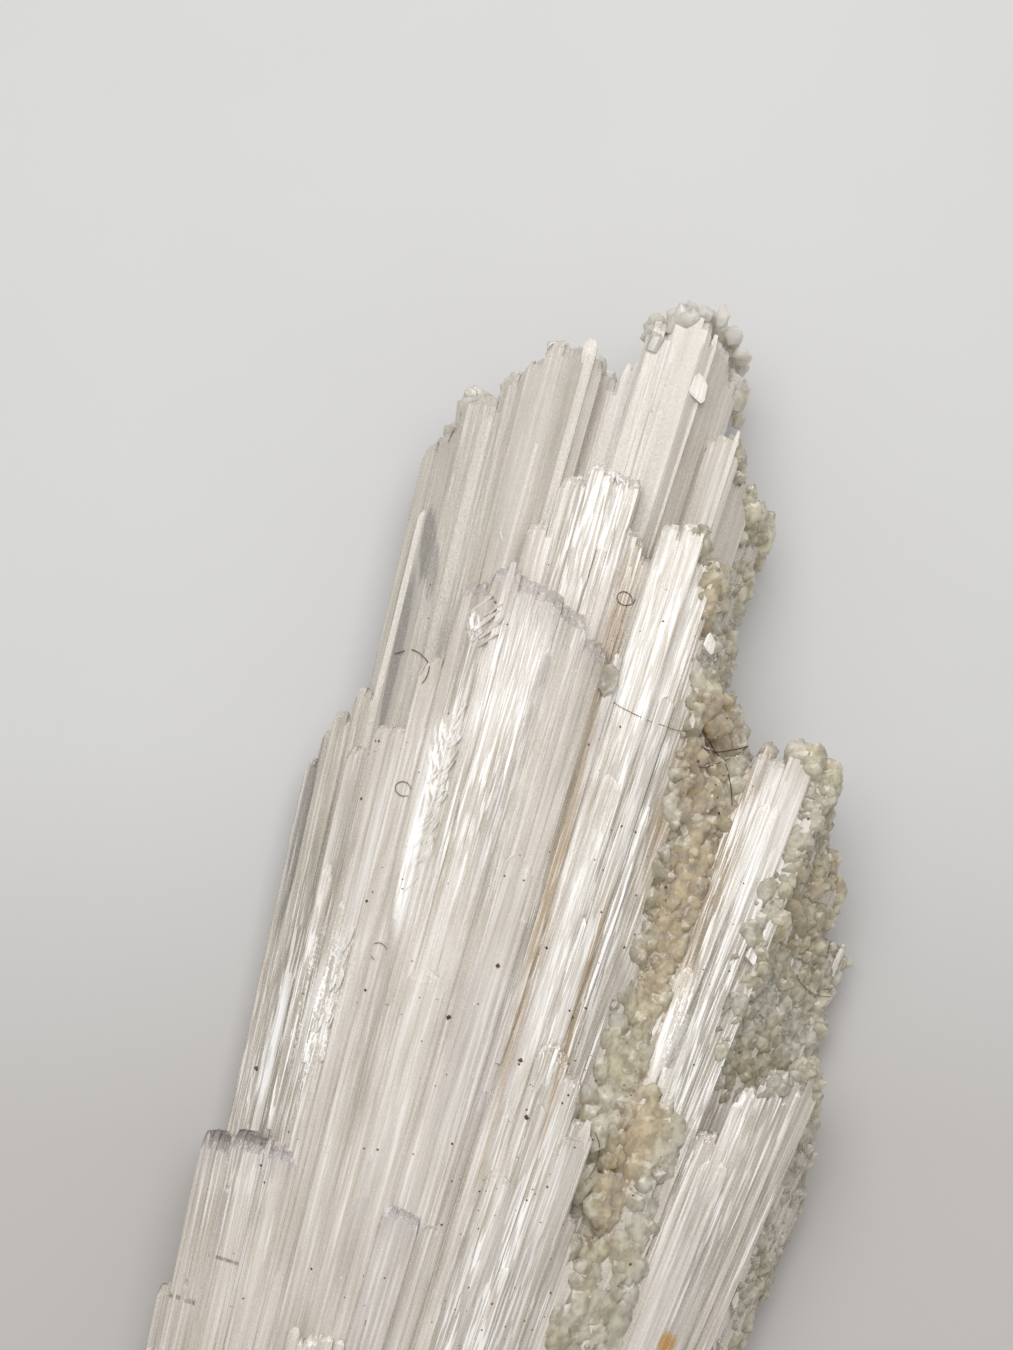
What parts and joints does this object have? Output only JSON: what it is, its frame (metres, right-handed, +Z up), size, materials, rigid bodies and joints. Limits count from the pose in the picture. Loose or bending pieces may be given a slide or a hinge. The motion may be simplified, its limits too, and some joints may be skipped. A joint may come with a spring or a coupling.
{
  "type": "scolecite crystal group",
  "caption": "Fanned sheaf of striated, milky-clear scolecite crystals grown together, with stepped tips and a drusy right flank, lying on its flat underside.",
  "frame": {"origin": "centre of the rectangle that the sheaf covers, at the height of the surface it lies on", "axes": "+Y along the crystals from the broken root to the tips, +Z up, +X to the right seen from above with the tips away"},
  "size_m": [0.0186, 0.0486, 0.0085],
  "materials": {
    "scolecite": "silky, lengthwise-striated and vitreous, milky white to clear, with tan stains"
  },
  "bodies": {
    "root": {"scolecite_crystals": "scolecite"}
  },
  "joints": []
}
